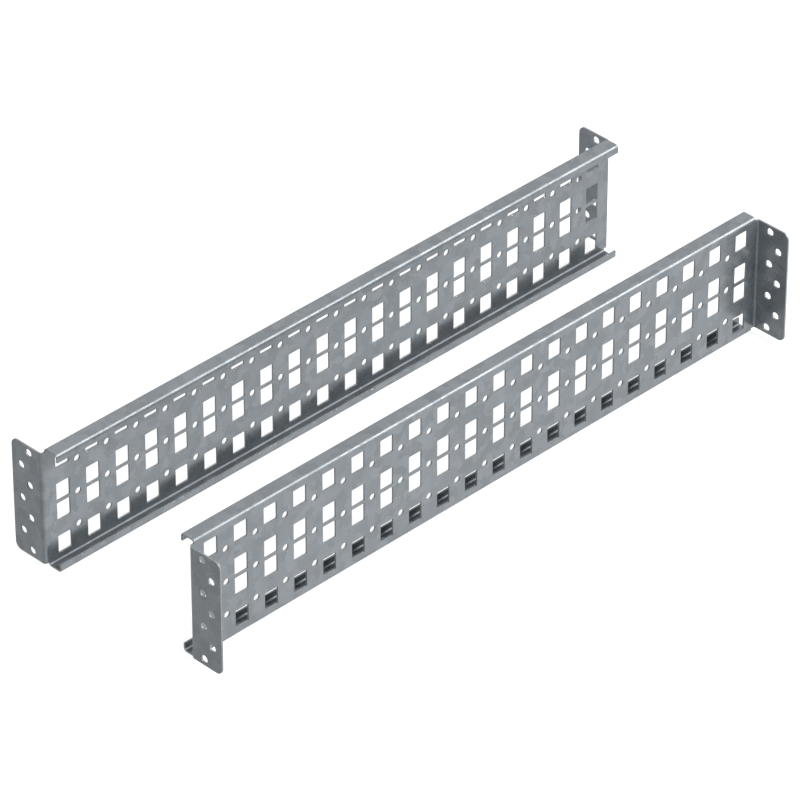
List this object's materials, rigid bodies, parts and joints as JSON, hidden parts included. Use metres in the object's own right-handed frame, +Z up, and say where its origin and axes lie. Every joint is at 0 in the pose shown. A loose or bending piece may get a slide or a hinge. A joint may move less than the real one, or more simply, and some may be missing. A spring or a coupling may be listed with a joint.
{
  "type": "pair of enclosure cross rails",
  "caption": "Enclosure cross rails folded from galvanised sheet, with punched slotted webs, lipped channel edges and end flanges with staggered fixing holes.",
  "frame": {"origin": "midway between the two rails and between their ends, on the surface that they stand on", "axes": "+X along the rails, +Y from the front rail to the rear rail, +Z up"},
  "size_m": [0.509, 0.1878, 0.09],
  "materials": {
    "galvanised_sheet": "hot-dip galvanised, satin with a faint spangle"
  },
  "bodies": {
    "root": {"rear_rail": "galvanised_sheet", "front_rail": "galvanised_sheet"}
  },
  "joints": []
}
